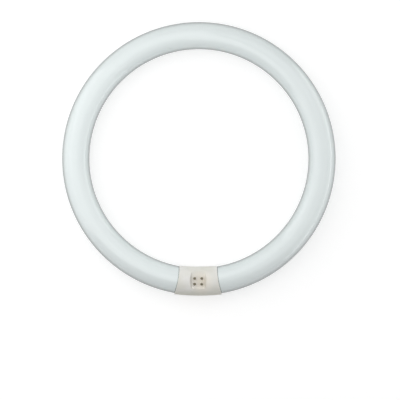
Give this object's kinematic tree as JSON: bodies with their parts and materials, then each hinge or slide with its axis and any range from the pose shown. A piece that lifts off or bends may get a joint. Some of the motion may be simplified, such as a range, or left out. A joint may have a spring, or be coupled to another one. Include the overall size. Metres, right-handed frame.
{
  "type": "circular fluorescent lamp",
  "caption": "Ring-shaped fluorescent lamp: an opal glass tube bent into a circle and closed by a white plastic base with contact pins standing in a recessed pocket.",
  "frame": {"origin": "on the surface that the lamp lies on, under the centre of the ring", "axes": "+Z along the ring's axis, the way the contact pins point; the base is at -Y; X runs along the tube at the base"},
  "size_m": [0.305, 0.3055, 0.0362],
  "materials": {
    "opal_glass": "clear soda glass coated inside with pale phosphor, so it looks opaque and glossy",
    "base_plastic": "moulded warm white plastic, satin",
    "pin_metal": "nickel-plated brass, dulled",
    "lead_wire": "drawn nickel-iron wire",
    "glass_sleeving": "woven glass-fibre sleeving"
  },
  "bodies": {
    "root": {"glass_tube": "opal_glass", "base_front": "base_plastic", "base_back": "base_plastic", "contact_pin_1": "pin_metal", "contact_pin_2": "pin_metal", "contact_pin_3": "pin_metal", "contact_pin_4": "pin_metal", "lead_wire_1": "lead_wire", "lead_wire_2": "lead_wire", "lead_wire_3": "lead_wire", "lead_wire_4": "lead_wire", "lead_sleeve_1": "glass_sleeving", "lead_sleeve_2": "glass_sleeving", "lead_sleeve_3": "glass_sleeving", "lead_sleeve_4": "glass_sleeving"}
  },
  "joints": []
}
